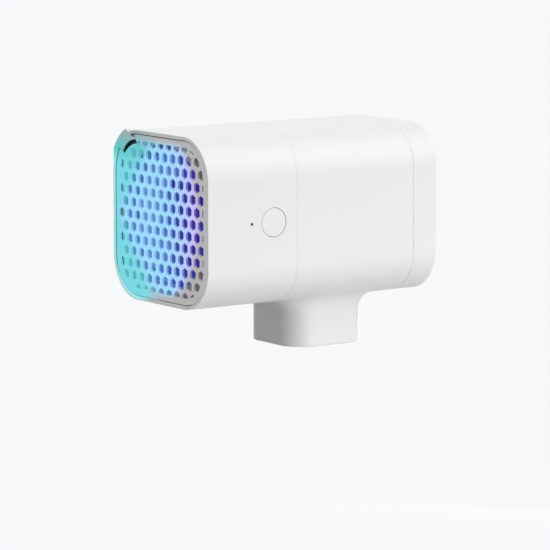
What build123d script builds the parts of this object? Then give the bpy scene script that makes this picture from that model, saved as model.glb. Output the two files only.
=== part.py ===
from build123d import *
import math
import os

# Toothbrush sterilizer: a rounded-square body that stands out from a wall on a magnetic dock.
# The brush head goes up through the neck underneath, into a chamber lit by ultraviolet lamps.
# A fan at the front draws air past the brush and blows it out through a honeycomb grille.
# Millimetres. X to the button side, Y to the wall, Z up. The origin is the centre of the wall face.

# Body
side = 60.0
corner_r = 15.3
length = 98.0
wall = 2.0
front_length = 37.2
dock_depth = 10.2
seam_gap = 0.1
seam_round = 0.1
rear_round = 0.4
tongue_length = 2.5
tongue_wall = 1.2
partition_thickness = 1.4
tab_thickness = 1.6

# Clearances between still pieces, running pieces and pieces that part
static_gap = 0.2
running_gap = 0.05
press_gap = 0.01
moving_gap = 0.3

# Neck under the middle housing
neck_width = 32.0
neck_corner_r = 9.6
neck_front_margin = 8.75
neck_rear_margin = 8.95
neck_drop = 17.8
neck_blend_r = 6.0
mouth_round = 0.5

# Rim around the grille, with the pull ear, the notch and the nail slot at its top left corner
front_lip = 0.35
rim_band = 1.25
rim_groove = 0.35
rim_ledge = 1.4
rim_ledge_thickness = 0.8
ear_proud = 1.5
ear_corner_r = 9.4
ear_thickness = 1.6
ear_inset = 0.15
notch_depth = 4.5
notch_rise = 0.4
notch_tip_reach = 0.3
notch_left_reach = 8.2
notch_right_reach = 4.2
slot_inset = 4.9
slot_bulge = 1.3
slot_shift = 3.0
slot_start = 93.0
slot_middle = 115.0
slot_end = 143.0
slot_margin_angle = 3.0
bare_margin_angle = 10.0
slot_margin = 1.1

# Honeycomb grille
grille_recess = 0.3
grille_thickness = 0.8
grille_rest_gap = 0.1
cell_pitch = 5.0
cell_across = 3.45
field_side_margin = 3.5
field_top_margin = 3.8
prong_x = 12.5
prong_width = 5.0
prong_thickness = 0.9
prong_length = 3.4

# Light behind the grille
mask_thickness = 0.8
duct_length = 4.4
duct_flare = 1.9
duct_wall = 1.0
duct_straight = 1.6
light_board_overhang = 2.0
light_board_corner_r = 12.0
board_thickness = 0.8
lamp_side = 3.0
lamp_height = 1.2
lamp_round = 0.5
lamp_ring_gap = 1.3
lamp_spread = 15.0

# Fan
fan_room = 3.0
fan_depth = 10.0
fan_corner_r = 4.0
fan_rim = 1.0
screw_inset = 5.0
fan_hole_r = 2.15
hub_r = 11.0
hub_wall = 1.0
blade_count = 7
blade_pitch = 38.0
blade_chord = 10.5
blade_camber = 1.3
blade_thickness = 0.9
blade_gap = 0.8
hub_room = 1.0
magnet_ring_wall = 1.4
motor_base_extra = 1.0
motor_base_thickness = 1.4
strut_width = 3.0
strut_count = 4
bearing_tube_r = 3.0
bearing_wall = 0.9
shaft_r = 1.0
stator_poles = 4
stator_pole_width = 4.0
stator_core_wall = 2.7
stator_rim_wall = 0.9
stator_slot = 1.0
stator_air_gap = 0.4

# Screws and the posts they go into
screw_r = 1.5
screw_head_r = 2.75
screw_head_height = 1.4
screw_bite = 7.0
hole_spare = 1.0
small_screw_r = 1.0
small_head_r = 1.9
small_head_height = 1.2
small_bite = 5.0
cross_width = 0.7
cross_depth = 0.7
post_r = 3.2
small_post_r = 2.3
post_web = 3.0
rear_post_length = 6.0

# Power button, its switch and the indicator
button_r = 5.0
button_ring = 0.2
button_from_indicator = 9.2
button_travel = 0.8
button_rest_gap = 0.1
button_round = 0.2
flange_extra = 1.2
flange_thickness = 0.8
stem_r = 1.6
stem_length = 0.7
switch_side = 6.0
switch_height = 3.5
switch_round = 0.4
plunger_r = 1.75
plunger_show = 1.5
plunger_inside = 0.8
indicator_from_fan = 0.1
indicator_hole_r = 0.55
indicator_recess = 0.15
pipe_side = 2.4
pipe_thickness = 1.8
pipe_reach = 1.2
signal_lamp = 1.6
signal_lamp_height = 0.8
switch_board_tail = 6.0
switch_board_height = 27.0
switch_post_inset = 2.7

# Chamber, brush port and grips
liner_wall = 1.0
chamber_room = 4.0
window_ledge = 1.0
collar_height = 11.0
collar_recess = 0.5
collar_wall = 1.2
collar_floor = 1.5
retainer_thickness = 1.2
port_side_margin = 6.0
port_end_margin = 7.65
port_corner_r = 3.6
vent_count = 5
vent_height = 2.2
vent_pitch = 5.0
vent_width = 16.0
vent_middle = -2.0
uv_board_thickness = 1.2
uv_window_thickness = 1.0
uv_lamp_side = 3.5
uv_lamp_height = 1.2
uv_lamp_spacing = 9.0
grip_gap = 5.0
grip_pin_r = 1.0
grip_eye_r = 2.3
grip_arm_height = 5.0
grip_arm_thickness = 1.6
grip_arm_round = 0.5
grip_rear_room = 4.4
grip_pad_thickness = 1.4
grip_pad_end = 2.6
spring_wire_r = 0.22
spring_coil_r = 1.6
spring_turns = 4

# Battery, main board and charging socket
cell_height = 40.0
cell_thickness = 8.0
cell_round = 2.0
cell_pad = 1.5
cell_rear_gap = 0.55
main_board_height = 30.0
main_board_standoff = 7.0
main_board_from_partition = 4.3
main_board_from_panel = 0.55
circuit_thickness = 1.0
main_post_inset = 4.0
controller_side = 7.0
charger_side = 4.5
driver_side = 4.0
chip_height = 1.2
coil_side = 6.0
coil_height = 2.4
chip_spread_y = 6.0
chip_spread_z = 5.0
socket_width = 9.0
socket_height = 3.2
socket_depth = 7.4
socket_wall = 0.35
contact_thickness = 0.7
contact_length = 5.5
contact_inset = 1.8

# Rear panel and wall dock
panel_thickness = 2.4
panel_recess = 2.8
magnet_r = 4.0
magnet_thickness = 2.0
magnet_cup_wall = 1.0
dock_front = 1.5
dock_plate = 2.4
foam_thickness = 1.0
foam_inset = 4.0

# How far off a plane a model edge may lie and still be picked as lying in it
pick_gap = 0.01

# Planes and centres that the pieces share
front_y = -length
front_edge_y = front_y + front_length - seam_gap / 2
middle_front_y = front_edge_y + seam_gap
middle_rear_y = -dock_depth - seam_gap / 2
dock_front_y = middle_rear_y + seam_gap
partition_rear_y = middle_front_y + partition_thickness
tab_rear_y = partition_rear_y + tab_thickness
inner_half = side / 2 - wall
inner_r = corner_r - wall
corner_centre = side / 2 - corner_r
slot_inner_r = corner_r - slot_inset
notch_tip = (-corner_centre - notch_tip_reach, side / 2 - notch_depth)
notch_left = (-corner_centre - notch_left_reach, side / 2 + notch_rise)
notch_right = (-corner_centre - notch_right_reach, side / 2 + notch_rise)
fan_side = 2 * (inner_half - fan_room)
fan_bore_r = fan_side / 2 - fan_rim
screw_spacing = fan_side - 2 * screw_inset
duct_bore_r = fan_bore_r + static_gap
duct_mouth_r = duct_bore_r + duct_flare
lamp_ring_r = duct_bore_r + duct_wall + lamp_ring_gap + lamp_side / 2
light_board_side = fan_side + 2 * light_board_overhang
grille_front_y = front_y + grille_recess
grille_back_y = grille_front_y + grille_thickness
ledge_y = grille_back_y + grille_rest_gap
rim_back_y = ledge_y + rim_ledge_thickness
mask_back_y = rim_back_y + mask_thickness
board_front_y = mask_back_y + duct_length
fan_front_y = board_front_y + board_thickness
fan_back_y = fan_front_y + fan_depth
base_y = fan_back_y - motor_base_thickness
motor_base_r = hub_r + motor_base_extra
hub_front_y = fan_front_y + blade_gap
hub_inside_y = hub_front_y + hub_wall
tube_front_y = hub_inside_y + hub_room
core_front_y = tube_front_y + hub_room
rotor_back_y = base_y - hub_room
neck_front_y = middle_front_y + neck_front_margin
neck_rear_y = middle_rear_y - neck_rear_margin
neck_depth = neck_rear_y - neck_front_y
neck_y = (neck_front_y + neck_rear_y) / 2
neck_bottom = -side / 2 - neck_drop
collar_bottom = neck_bottom + collar_recess
collar_top = collar_bottom + collar_height
liner_bottom = collar_top + retainer_thickness
panel_rear_y = middle_rear_y - panel_recess
panel_front_y = panel_rear_y - panel_thickness
spigot_front_y = panel_rear_y + moving_gap
dock_floor_y = spigot_front_y + dock_front
plate_front_y = -foam_thickness - dock_plate
liner_top = inner_half - chamber_room
window_top = liner_top - uv_lamp_height - static_gap
window_bottom = window_top - uv_window_thickness
indicator_y = fan_back_y + indicator_from_fan
button_y = indicator_y + button_from_indicator
flange_top_x = inner_half - button_rest_gap
stem_tip_x = flange_top_x - flange_thickness - stem_length
switch_top_x = stem_tip_x - plunger_show
switch_board_x = switch_top_x - switch_height
signal_lamp_y = indicator_y + pipe_reach
switch_board_front_y = signal_lamp_y - signal_lamp / 2 - static_gap
switch_board_rear_y = button_y + switch_board_tail
main_board_x = inner_half - main_board_standoff
main_board_front_y = partition_rear_y + main_board_from_partition
main_board_rear_y = panel_front_y - main_board_from_panel
main_board_y = (main_board_front_y + main_board_rear_y) / 2
cell_front_y = tab_rear_y + screw_head_height + moving_gap
cell_rear_y = panel_front_y - rear_post_length - cell_rear_gap
cell_y = (cell_front_y + cell_rear_y) / 2
socket_x = main_board_x + socket_height / 2
socket_front_y = panel_rear_y - running_gap - socket_depth
ear_back_y = front_y + ear_thickness
prong_z = side / 2 - rim_band - rim_ledge - seam_gap - prong_thickness / 2
grip_pin_x = grip_gap / 2 + grip_pad_thickness + grip_arm_thickness / 2
grip_pin_y = neck_front_y + wall + static_gap + collar_wall + moving_gap + grip_eye_r
grip_end_y = neck_rear_y - wall - static_gap - collar_wall - grip_rear_room
grip_arm_reach = grip_end_y - grip_pin_y
grip_pad_length = 2 * (grip_end_y - neck_y - grip_pad_end)
port_width = neck_width - 2 * port_side_margin
port_depth = neck_depth - 2 * port_end_margin
arm_bottom = collar_bottom + collar_floor + static_gap
arm_top = arm_bottom + grip_arm_height
quarters = [(-1, -1), (-1, 1), (1, -1), (1, 1)]
corners = [(sx * screw_spacing / 2, sz * screw_spacing / 2) for sx, sz in quarters]
cup_r = magnet_r + running_gap + magnet_cup_wall
magnet_offset = screw_spacing / 2 - (cup_r + post_r + moving_gap) * math.sqrt(0.5)
magnet_places = [(sx * magnet_offset, sz * magnet_offset) for sx, sz in quarters]
prong_places = [(sx * prong_x, sz * prong_z) for sx, sz in quarters]


def along_x(sketch, start, end, y=0.0, z=0.0):
    """The sketch, drawn with its x along Y and its y along Z, filled from start to end."""
    plane = Plane((start, y, z), x_dir=(0, 1, 0), z_dir=(1, 0, 0))
    return extrude(plane * sketch, end - start)


def along_y(sketch, start, end, x=0.0, z=0.0):
    """The sketch, drawn in X and Z, filled from start to end."""
    plane = Plane((x, end, z), x_dir=(1, 0, 0), z_dir=(0, -1, 0))
    return extrude(plane * sketch, end - start)


def along_z(sketch, start, end, x=0.0, y=0.0):
    """The sketch, drawn in X and Y, filled from start to end."""
    return extrude(Plane((x, y, start)) * sketch, end - start)


def body_outline(inset):
    """The body's outline, moved in by inset."""
    return RectangleRounded(side - 2 * inset, side - 2 * inset, corner_r - inset)


def body_slab(inset, start, end):
    """A slab of the body's outline, from start to end along Y."""
    return along_y(body_outline(inset), start, end)


def nested_slab(start, end):
    """A slab that fits inside the walls."""
    return body_slab(wall + static_gap, start, end)


def neck_outline(inset):
    """The neck's outline, moved in by inset."""
    return RectangleRounded(neck_width - 2 * inset, neck_depth - 2 * inset, neck_corner_r - inset)


def neck_slab(inset, start, end):
    """A slab of the neck's outline, from start to end along Z."""
    return along_z(neck_outline(inset), start, end, 0, neck_y)


def screw(shank_r, head_r, head_height, shank_length):
    """A cross-head screw that points along +Z, with its head's underside at the origin."""
    body = along_z(Circle(shank_r), 0, shank_length)
    body += along_z(Circle(head_r), -head_height, 0)
    reach = head_r + cross_width
    cross = Rectangle(reach, cross_width) + Rectangle(cross_width, reach)
    return body - along_z(cross, -head_height, -head_height + cross_depth)


def case_screw(grip_length):
    """A housing screw that clamps grip_length and bites into a post beyond it."""
    return screw(screw_r, screw_head_r, screw_head_height, grip_length + screw_bite)


def board_screw():
    """A small screw through a circuit board."""
    return screw(small_screw_r, small_head_r, small_head_height, circuit_thickness + small_bite)


def corner_post(start, end, web_start, web_end):
    """Posts at the four screw corners, each webbed to the nearest corner of the shell."""
    posts = []
    for x, z in corners:
        reach = (corner_centre + inner_r * math.sqrt(0.5) - abs(x)) * math.sqrt(2) + wall / 2
        web = along_y(Rectangle(reach, post_web), web_start, web_end)
        angle = math.degrees(math.atan2(z, x))
        web = Rot(0, -angle, 0) * Pos(reach / 2, 0, 0) * web
        posts.append(along_y(Circle(post_r), start, end, x, z) + Pos(x, 0, z) * web)
    return posts


def hollows(radius, start, end, places):
    """Round holes along Y at the given places."""
    return [along_y(Circle(radius), start, end, x, z) for x, z in places]


def edges_at(part, axis, place):
    """The edges that lie in the plane at the given place along an axis."""
    return part.edges().filter_by_position(axis, place - pick_gap, place + pick_gap)


def ear_region():
    """The quadrant left of the notch, where the rim widens into the pull ear."""
    return Polygon(
        (-corner_centre, corner_centre), notch_tip, notch_left, (notch_left[0], side),
        (-side, side), (-side, corner_centre), align=None,
    )


def ear_side():
    """Everything left of the notch's right flank."""
    return Polygon(
        (notch_tip[0], 0), notch_tip, notch_right, (notch_right[0], side),
        (-side, side), (-side, 0), align=None,
    )


def ear_outline(grow=0.0):
    """The pull ear, which stands proud of the body's rounded corner."""
    width = side - 2 * ear_inset + 2 * grow
    outline = RectangleRounded(width, width, ear_corner_r + grow)
    return outline & corner_circle(corner_r + ear_proud + grow) & ear_region()


def notch_outline():
    """The V cut beside the ear."""
    return Polygon(notch_tip, notch_left, notch_right, align=None)


def corner_wedge(first, last):
    """A wedge from the top left corner's centre outward, between two directions in degrees."""
    points = [(0, 0)]
    for turn in (math.radians(first), math.radians(last)):
        points.append((side * math.cos(turn), side * math.sin(turn)))
    return Pos(-corner_centre, corner_centre) * Polygon(*points, align=None)


def corner_circle(radius):
    """A disc about the top left corner's centre."""
    return Pos(-corner_centre, corner_centre) * Circle(radius)


def slot_outline():
    """The crescent that a fingernail goes into, between the ear and the grille's corner."""
    turn = math.radians(slot_middle)
    shift = Pos(slot_shift * math.cos(turn), slot_shift * math.sin(turn))
    crescent = shift * corner_circle(slot_inner_r - slot_bulge) - corner_circle(slot_inner_r)
    return crescent & corner_wedge(slot_start - 2 * slot_margin_angle, slot_end)


def rim_opening():
    """The opening that the grille sits in, less the ear."""
    held = corner_wedge(slot_start, slot_end) & ear_region()
    held -= slot_outline() + corner_circle(slot_inner_r)
    return body_outline(rim_band) - held


def front_rim():
    """Grey ring that carries the grille on a ledge, with the pull ear at its top left corner."""
    ring = body_slab(front_lip + running_gap, front_y, rim_back_y)
    ring += along_y(ear_outline(), front_y, front_y + ear_thickness)
    ring -= along_y(rim_opening(), front_y, ear_back_y)
    ring -= body_slab(rim_band, ear_back_y, ledge_y)
    ring -= body_slab(rim_band + rim_ledge, ledge_y, rim_back_y)
    return ring - along_y(notch_outline(), front_y, rim_back_y)


def front_housing():
    """Front shell, with posts for the fan and for the middle housing, and the button's hole."""
    shell = body_slab(0, front_y, front_edge_y)
    shell = fillet(edges_at(shell, Axis.Y, front_edge_y), seam_round)
    shell -= body_slab(wall, front_y, front_edge_y)
    shell -= body_slab(front_lip, front_y, rim_back_y)
    shell -= along_y(ear_outline(seam_gap), front_y, ear_back_y + seam_gap)
    shell -= along_y(notch_outline(), front_y, rim_back_y)
    web_end = middle_front_y - tongue_length - moving_gap
    for post in corner_post(fan_back_y, middle_front_y, fan_back_y, web_end):
        shell += post & body_slab(wall / 2, fan_back_y, middle_front_y)
    bite = screw_bite + hole_spare
    shell -= hollows(screw_r + running_gap, fan_back_y, fan_back_y + bite, corners)
    shell -= hollows(screw_r + running_gap, middle_front_y - bite, middle_front_y, corners)
    for y, z in switch_posts():
        shell += along_x(Circle(small_post_r), switch_board_x, inner_half + wall / 2, y, z)
        shell -= along_x(Circle(small_screw_r + running_gap), switch_board_x, inner_half, y, z)
    shell -= along_x(Circle(button_r + button_ring), inner_half, side, button_y, 0)
    shell -= along_x(Circle(indicator_hole_r), inner_half, side, indicator_y, 0)
    return shell


def switch_posts():
    """Centres of the switch board's four screws, in Y and Z."""
    near = switch_board_front_y + switch_post_inset
    far = switch_board_rear_y - switch_post_inset
    reach = switch_board_height / 2 - switch_post_inset
    return [(y, z) for y in (near, far) for z in (-reach, reach)]


def hole_field():
    """The rows of hexagonal holes, cut off at the field's rounded outline."""
    row_pitch = cell_pitch * math.sqrt(3) / 2
    half_width = side / 2 - field_side_margin
    half_height = side / 2 - field_top_margin
    rows = round(half_height / row_pitch)
    columns = math.ceil(half_width / cell_pitch)
    cell = RegularPolygon(cell_across / 2, 6, major_radius=False, rotation=30)
    cells = []
    for row in range(-rows, rows + 1):
        shift = cell_pitch / 2 if row % 2 else 0.0
        for column in range(-columns, columns + 1):
            cells.append(Pos(column * cell_pitch + shift, row * row_pitch) * cell)
    field = RectangleRounded(2 * half_width, 2 * half_height, corner_r - field_side_margin)
    bare = corner_wedge(slot_start - slot_margin_angle, slot_end + bare_margin_angle)
    bare -= corner_circle(slot_inner_r - slot_margin)
    return (Sketch() + cells) & (field - bare)


def grille_plate():
    """Honeycomb plate that lifts out of the rim, with four prongs behind."""
    bitten = corner_wedge(slot_start - slot_margin_angle, slot_end + slot_margin_angle)
    bitten += notch_outline()
    bitten -= corner_circle(slot_inner_r)
    outline = body_outline(rim_band + rim_groove) - (bitten & ear_side())
    plate = along_y(outline, grille_front_y, grille_back_y)
    plate -= along_y(hole_field(), grille_front_y, grille_back_y)
    prong = Rectangle(prong_width, prong_thickness)
    for x, z in prong_places:
        plate += along_y(prong, grille_back_y, grille_back_y + prong_length, x, z)
    return plate


def light_mask():
    """Grey plate behind the grille that hides the corners around the round light."""
    plate = nested_slab(rim_back_y, mask_back_y)
    plate -= along_y(Circle(duct_mouth_r), rim_back_y, mask_back_y)
    room = 2 * moving_gap
    slot = Rectangle(prong_width + room, prong_thickness + room)
    for x, z in prong_places:
        plate -= along_y(slot, rim_back_y, mask_back_y, x, z)
    return plate


def light_duct():
    """Milky collar around the air stream: straight at the fan, flared at the grille."""
    flare_y = board_front_y - duct_straight
    outer_r = duct_bore_r + duct_wall
    profile = Polygon(
        (duct_bore_r, board_front_y), (duct_bore_r, flare_y), (duct_mouth_r, mask_back_y),
        (duct_mouth_r + duct_wall, mask_back_y), (outer_r, flare_y), (outer_r, board_front_y),
        align=None,
    )
    return revolve(profile, Axis.Y)


def light_board():
    """Circuit board that carries the lamps around the collar, clamped to the fan's front."""
    outline = RectangleRounded(light_board_side, light_board_side, light_board_corner_r)
    board = along_y(outline, board_front_y, fan_front_y)
    board -= along_y(Circle(duct_bore_r), board_front_y, fan_front_y)
    return board - hollows(screw_r + static_gap, board_front_y, fan_front_y, corners)


def duct_lamps():
    """Eight square lamps on the light board, two at each corner screw."""
    lamps = []
    lamp = RectangleRounded(lamp_side, lamp_side, lamp_round)
    for sx, sz in quarters:
        for turn in (-lamp_spread, lamp_spread):
            angle = math.atan2(sz, sx) + math.radians(turn)
            x = lamp_ring_r * math.cos(angle)
            z = lamp_ring_r * math.sin(angle)
            lamps.append(along_y(lamp, board_front_y - lamp_height, board_front_y, x, z))
    return Compound(lamps)


def fan_frame():
    """Square fan frame with the motor base on struts and the bearing tube at its centre."""
    frame = along_y(RectangleRounded(fan_side, fan_side, fan_corner_r), fan_front_y, fan_back_y)
    frame -= along_y(Circle(fan_bore_r), fan_front_y, fan_back_y)
    frame -= hollows(fan_hole_r, fan_front_y, fan_back_y, corners)
    reach = fan_bore_r + running_gap
    strut = along_y(Rectangle(reach, strut_width), base_y, fan_back_y, reach / 2, 0)
    for count in range(strut_count):
        frame += Rot(0, 360 * (count + 0.5) / strut_count, 0) * strut
    frame += along_y(Circle(motor_base_r), base_y, fan_back_y)
    tube = Circle(bearing_tube_r) - Circle(shaft_r + bearing_wall + running_gap)
    return frame + along_y(tube, tube_front_y, base_y)


def fan_bearing():
    """Bronze sleeve in the bearing tube, with the shaft's running clearance."""
    sleeve = Circle(shaft_r + bearing_wall) - Circle(shaft_r + running_gap)
    return along_y(sleeve, core_front_y, base_y)


def fan_shaft():
    """Steel shaft, fixed in the hub and turning in the bearing."""
    return along_y(Circle(shaft_r), hub_inside_y, base_y - moving_gap)


def fan_stator():
    """Iron core with its wound poles, pressed over the bearing tube."""
    reach = hub_r - hub_wall - magnet_ring_wall - stator_air_gap
    core = Circle(bearing_tube_r + stator_core_wall)
    for count in range(stator_poles):
        pole = Pos(reach / 2, 0) * Rectangle(reach, stator_pole_width)
        core += Rot(0, 0, 360 * count / stator_poles) * pole
    core += Circle(reach) - Circle(reach - stator_rim_wall)
    cut = Pos(reach, 0) * Rectangle(3 * stator_rim_wall, stator_slot)
    for count in range(stator_poles):
        core -= Rot(0, 0, 360 * (count + 0.5) / stator_poles) * cut
    core -= Circle(bearing_tube_r + running_gap)
    return along_y(core, core_front_y, base_y)


def magnet_ring():
    """Ring magnet inside the rotor's hub."""
    outer = hub_r - hub_wall - running_gap
    ring = Circle(outer) - Circle(outer + running_gap - magnet_ring_wall)
    return along_y(ring, hub_inside_y, rotor_back_y - moving_gap)


def fan_blade():
    """One cambered blade on the +X side, pitched to the plane of rotation."""
    half = blade_chord / 2
    edge = blade_thickness / 2
    crown = ThreePointArc((-half, 0), (0, blade_camber), (half, 0))
    back = ThreePointArc((half, -edge), (0, blade_camber - blade_thickness), (-half, -edge))
    ends = [Line(crown @ 1, back @ 0), Line(back @ 1, crown @ 0)]
    section = make_face([crown, back] + ends)
    root = hub_r - hub_wall / 2
    middle_y = (hub_front_y + base_y) / 2
    plane = Plane((root, middle_y, 0), x_dir=(0, 0, 1), z_dir=(1, 0, 0))
    blade = extrude(plane.rotated((blade_pitch - 90, 0, 0)) * section, fan_bore_r)
    tip = Circle(fan_bore_r - blade_gap) - Circle(root)
    return blade & along_y(tip, hub_front_y, base_y - blade_gap)


def fan_rotor():
    """Hub cup with its ring of blades."""
    rotor = along_y(Circle(hub_r), hub_front_y, rotor_back_y)
    rotor -= along_y(Circle(hub_r - hub_wall), hub_inside_y, rotor_back_y)
    blade = fan_blade()
    for count in range(blade_count):
        rotor += Rot(0, 360 * count / blade_count, 0) * blade
    return rotor


def fan_screws():
    """Four screws through the light board and the fan into the housing's posts."""
    one = case_screw(board_thickness + fan_depth)
    return Compound([Pos(x, board_front_y, z) * Rot(-90, 0, 0) * one for x, z in corners])


def power_button():
    """Button cap, flush with the wall, with the flange that keeps it in and a short stem."""
    cap = along_x(Circle(button_r), flange_top_x, side / 2, button_y, 0)
    cap = fillet(cap.faces().sort_by(Axis.X)[-1].edges(), button_round)
    flange_bottom = flange_top_x - flange_thickness
    cap += along_x(Circle(button_r + flange_extra), flange_bottom, flange_top_x, button_y, 0)
    return cap + along_x(Circle(stem_r), stem_tip_x, flange_bottom, button_y, 0)


def switch_plunger():
    """The switch's own plunger, which the button's stem rests on."""
    return along_x(Circle(plunger_r), switch_top_x - plunger_inside, stem_tip_x, button_y, 0)


def tact_switch():
    """Square press switch, with a well that its plunger sinks into."""
    body = RectangleRounded(switch_side, switch_side, switch_round)
    switch = along_x(body, switch_board_x, switch_top_x, button_y, 0)
    well = switch_top_x - plunger_inside - button_travel - moving_gap
    return switch - along_x(Circle(plunger_r + running_gap), well, switch_top_x, button_y, 0)


def switch_board():
    """Small circuit board behind the button, screwed to posts on the side wall."""
    width = switch_board_rear_y - switch_board_front_y
    outline = RectangleRounded(width, switch_board_height, circuit_thickness)
    start = switch_board_x - circuit_thickness
    board = along_x(outline, start, switch_board_x, switch_board_front_y + width / 2, 0)
    for y, z in switch_posts():
        board -= along_x(Circle(small_screw_r + running_gap), start, switch_board_x, y, z)
    return board


def switch_board_screws():
    """Four small screws from the board into its posts."""
    start = switch_board_x - circuit_thickness
    return Compound([Pos(start, y, z) * Rot(0, 90, 0) * board_screw() for y, z in switch_posts()])


def indicator_lamp():
    """Small signal lamp on the switch board."""
    lamp = Rectangle(signal_lamp, signal_lamp)
    return along_x(lamp, switch_board_x, switch_board_x + signal_lamp_height, signal_lamp_y, 0)


def light_pipe():
    """Clear pipe from the lamp on the board to the pin hole beside the button."""
    block_x = inner_half - pipe_thickness
    leg_x = switch_board_x + signal_lamp_height
    leg = along_x(Rectangle(pipe_side, pipe_side), leg_x, block_x, signal_lamp_y, 0)
    block = Rectangle(pipe_reach + pipe_side, pipe_side)
    block = along_x(block, block_x, inner_half, indicator_y + pipe_reach / 2, 0)
    pin = Circle(indicator_hole_r - running_gap)
    return leg + block + along_x(pin, inner_half, side / 2 - indicator_recess, indicator_y, 0)


def seam_seal():
    """Thin gasket between the front and the middle housing."""
    ring = body_outline(seam_gap) - body_outline(wall - static_gap)
    return along_y(ring, front_edge_y, middle_front_y)


def case_screws():
    """Four screws through the middle housing's tabs and the partition into the front housing."""
    one = case_screw(partition_thickness + tab_thickness)
    return Compound([Pos(x, tab_rear_y, z) * Rot(90, 0, 0) * one for x, z in corners])


def partition():
    """Plate between the two housings: the hole for the air and a tongue that lines them up."""
    plate = nested_slab(middle_front_y, partition_rear_y)
    tongue = body_outline(wall + static_gap) - body_outline(wall + static_gap + tongue_wall)
    plate += along_y(tongue, middle_front_y - tongue_length, middle_front_y)
    plate -= along_y(Circle(duct_bore_r), middle_front_y, partition_rear_y)
    return plate - hollows(screw_r + running_gap, middle_front_y, partition_rear_y, corners)


def main_posts():
    """Centres of the main board's four screws, in Y and Z."""
    near = main_board_front_y + main_post_inset
    far = main_board_rear_y - 2 * main_post_inset
    reach = main_board_height / 2 - main_post_inset
    return [(y, z) for y in (near, far) for z in (-reach, reach)]


def neck_blend(shell):
    """Rounds the inside corner where the neck meets the body's underside."""
    def on_joint(edge):
        centre = edge.center()
        over = abs(centre.X) <= neck_width / 2 + pick_gap
        along = abs(centre.Y - neck_y) <= neck_depth / 2 + pick_gap
        at_joint = abs(centre.Z + side / 2) < wall / 2
        return over and along and at_joint
    return fillet(shell.edges().filter_by(on_joint), neck_blend_r)


def middle_housing():
    """Middle shell with the neck, screw tabs behind its front edge, and posts."""
    shell = body_slab(0, middle_front_y, middle_rear_y)
    shell += neck_slab(0, neck_bottom, -corner_centre)
    shell = neck_blend(shell)
    ends = edges_at(shell, Axis.Y, middle_front_y) + edges_at(shell, Axis.Y, middle_rear_y)
    shell = fillet(ends, seam_round)
    shell = fillet(edges_at(shell, Axis.Z, neck_bottom), mouth_round)
    shell -= body_slab(wall, middle_front_y, middle_rear_y)
    shell -= neck_slab(wall, neck_bottom, -corner_centre)
    for tab in corner_post(partition_rear_y, tab_rear_y, partition_rear_y, tab_rear_y):
        shell += tab & body_slab(wall / 2, partition_rear_y, tab_rear_y)
    shell -= hollows(screw_r + running_gap, partition_rear_y, tab_rear_y, corners)
    start = panel_front_y - rear_post_length
    for post in corner_post(start, panel_front_y, start, panel_front_y):
        shell += post & body_slab(wall / 2, start, panel_front_y)
    shell -= hollows(screw_r + running_gap, start, panel_front_y, corners)
    for y, z in main_posts():
        shell += along_x(Circle(small_post_r), main_board_x, inner_half + wall / 2, y, z)
        shell -= along_x(Circle(small_screw_r + running_gap), main_board_x, inner_half, y, z)
    return shell


def chamber_liner():
    """Mirror-finished liner of the brush chamber, with air vents on the fan side."""
    outer = wall + static_gap
    liner = neck_slab(outer, liner_bottom, liner_top)
    liner -= neck_slab(outer + liner_wall, liner_bottom, liner_top)
    ledge = neck_outline(outer) - neck_outline(outer + liner_wall + window_ledge)
    liner += along_z(ledge, window_bottom - window_ledge, window_bottom, 0, neck_y)
    front = neck_front_y + outer
    for count in range(vent_count):
        z = vent_middle + (count - (vent_count - 1) / 2) * vent_pitch
        liner -= Pos(0, front + liner_wall / 2, z) * Box(vent_width, 2 * liner_wall, vent_height)
    return liner


def uv_window():
    """Quartz window under the ultraviolet lamps."""
    return neck_slab(wall + 2 * static_gap + liner_wall, window_bottom, window_top)


def uv_board():
    """Circuit board that closes the top of the liner."""
    return neck_slab(wall + static_gap, liner_top, liner_top + uv_board_thickness)


def uv_lamps():
    """Four ultraviolet lamps under the board."""
    lamps = []
    lamp = RectangleRounded(uv_lamp_side, uv_lamp_side, lamp_round)
    for sx, sy in quarters:
        x = sx * uv_lamp_spacing / 2
        y = neck_y + sy * uv_lamp_spacing / 2
        lamps.append(along_z(lamp, liner_top - uv_lamp_height, liner_top, x, y))
    return Compound(lamps)


def mouth_collar():
    """Collar in the neck's mouth: the brush port and the lower seats of the grip pins."""
    outer = wall + static_gap
    collar = neck_slab(outer, collar_bottom, collar_top)
    collar -= neck_slab(outer + collar_wall, collar_bottom + collar_floor, collar_top)
    collar -= along_z(port_outline(), collar_bottom, collar_top, 0, neck_y)
    for x in (-grip_pin_x, grip_pin_x):
        hole = Circle(grip_pin_r + press_gap)
        collar -= along_z(hole, collar_bottom, collar_top, x, grip_pin_y)
    return collar


def port_outline():
    """The opening that the brush head passes through."""
    return RectangleRounded(port_width, port_depth, port_corner_r)


def grip_retainer():
    """Plate above the grips that holds the upper ends of their pins."""
    plate = neck_slab(wall + static_gap, collar_top, liner_bottom)
    plate -= along_z(port_outline(), collar_top, liner_bottom, 0, neck_y)
    for x in (-grip_pin_x, grip_pin_x):
        hole = Circle(grip_pin_r + press_gap)
        plate -= along_z(hole, collar_top, liner_bottom, x, grip_pin_y)
    return plate


def grip_pins():
    """Two steel pins, pressed into the collar and the retainer."""
    pin = Circle(grip_pin_r)
    pins = [along_z(pin, collar_bottom, liner_bottom, x, grip_pin_y) for x in (-grip_pin_x, grip_pin_x)]
    return Compound(pins)


def grip_arm(hand):
    """Sprung arm that swings out when the brush head pushes in. hand is 1 on the button side."""
    beam = RectangleRounded(grip_arm_thickness, grip_arm_reach, grip_arm_round)
    arm = Circle(grip_eye_r) + Pos(0, grip_arm_reach / 2) * beam
    arm -= Circle(grip_pin_r + running_gap)
    return along_z(arm, arm_bottom, arm_top, hand * grip_pin_x, grip_pin_y)


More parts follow.
